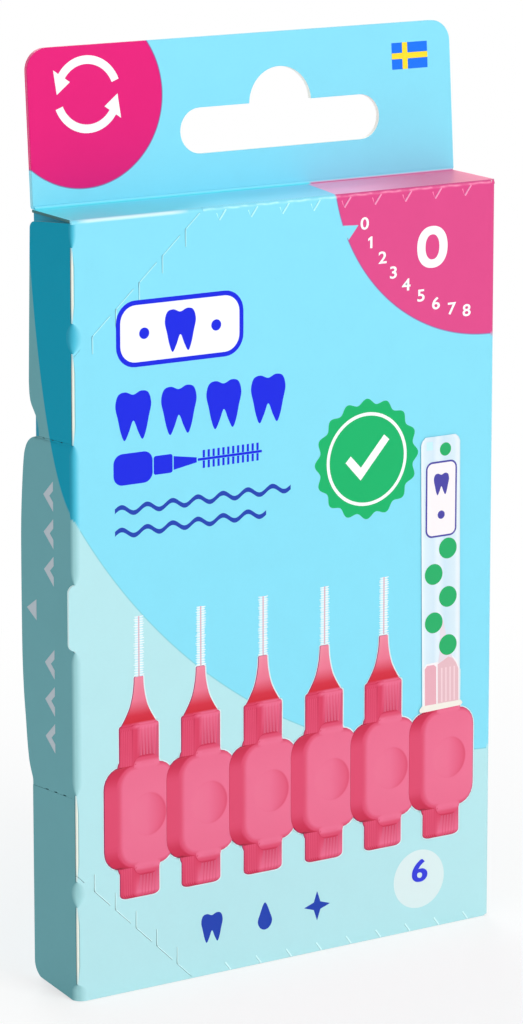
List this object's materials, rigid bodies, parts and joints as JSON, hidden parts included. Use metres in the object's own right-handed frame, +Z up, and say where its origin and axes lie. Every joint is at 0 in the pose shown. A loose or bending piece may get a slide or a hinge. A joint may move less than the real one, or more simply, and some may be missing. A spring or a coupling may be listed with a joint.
{
  "type": "interdental brush pack",
  "caption": "Hang-tab folding carton with a tear-open front holding pink-handled interdental brushes, one with a clear cap",
  "frame": {"origin": "centre of the carton's base, on the surface that it stands on", "axes": "+X along the front to the right, +Y from the front to the back, +Z up to the hang tab"},
  "size_m": [0.0811, 0.015, 0.1499],
  "materials": {
    "board_cyan": "satin",
    "board_mint": "satin",
    "board_teal": "satin",
    "board_white": "satin",
    "pink_plastic": "gloss",
    "steel_wire": "satin",
    "white_bristle": "matte",
    "clear_cap": "gloss"
  },
  "bodies": {
    "carton": {"back_panel": "board_cyan", "right_side_panel": "board_mint", "left_side_panel": "board_teal", "top_panel": "board_cyan", "bottom_panel": "board_mint", "bottom_inner_panel": "board_white", "top_dust_flap_left": "board_white", "top_dust_flap_right": "board_white", "bottom_dust_flap_left": "board_white", "bottom_dust_flap_right": "board_white", "corner_upper": "board_cyan", "corner_lower": "board_mint", "side_flap_upper": "board_teal", "side_flap_lower": "board_teal"},
    "door": {"front_door": "board_cyan"},
    "pull_tab": {"pull_tab": "board_teal"},
    "hang_tab": {"hang_tab_front": "board_cyan", "hang_tab_back": "board_cyan"},
    "brush_1": {"brush_1_handle": "pink_plastic", "brush_1_wire": "steel_wire", "brush_1_bristles": "white_bristle"},
    "brush_2": {"brush_2_handle": "pink_plastic", "brush_2_wire": "steel_wire", "brush_2_bristles": "white_bristle"},
    "brush_3": {"brush_3_handle": "pink_plastic", "brush_3_wire": "steel_wire", "brush_3_bristles": "white_bristle"},
    "brush_4": {"brush_4_handle": "pink_plastic", "brush_4_wire": "steel_wire", "brush_4_bristles": "white_bristle"},
    "brush_5": {"brush_5_handle": "pink_plastic", "brush_5_wire": "steel_wire", "brush_5_bristles": "white_bristle"},
    "brush_6": {"brush_6_handle": "pink_plastic", "brush_6_wire": "steel_wire", "brush_6_bristles": "white_bristle"},
    "cap": {"brush_6_cap": "clear_cap"}
  },
  "joints": [
    {"name": "door_hinge", "type": "hinge", "parent": "carton", "child": "door", "pos_m": [0.0394, -0.0066, 0], "axis": [0, 0, 1], "range_deg": [0, 170]},
    {"name": "pull_tab_fold", "type": "hinge", "parent": "door", "child": "pull_tab", "pos_m": [-0.0394, -0.0066, 0], "axis": [0, 0, 1], "range_deg": [-9, 130]},
    {"name": "hang_tab_fold", "type": "hinge", "parent": "carton", "child": "hang_tab", "pos_m": [0, 0.00615, 0.1255], "axis": [1, 0, 0], "range_deg": [-85, 92]},
    {"name": "brush_1_slide", "type": "slide", "parent": "carton", "child": "brush_1", "axis": [0, 0, 1], "range_m": [0, 0.076]},
    {"name": "brush_2_slide", "type": "slide", "parent": "carton", "child": "brush_2", "axis": [0, 0, 1], "range_m": [0, 0.076]},
    {"name": "brush_3_slide", "type": "slide", "parent": "carton", "child": "brush_3", "axis": [0, 0, 1], "range_m": [0, 0.076]},
    {"name": "brush_4_slide", "type": "slide", "parent": "carton", "child": "brush_4", "axis": [0, 0, 1], "range_m": [0, 0.076]},
    {"name": "brush_5_slide", "type": "slide", "parent": "carton", "child": "brush_5", "axis": [0, 0, 1], "range_m": [0, 0.076]},
    {"name": "brush_6_slide", "type": "slide", "parent": "carton", "child": "brush_6", "axis": [0, 0, 1], "range_m": [0, 0.025]},
    {"name": "cap_slide", "type": "slide", "parent": "brush_6", "child": "cap", "axis": [0, 0, 1], "range_m": [0, 0.03]}
  ]
}
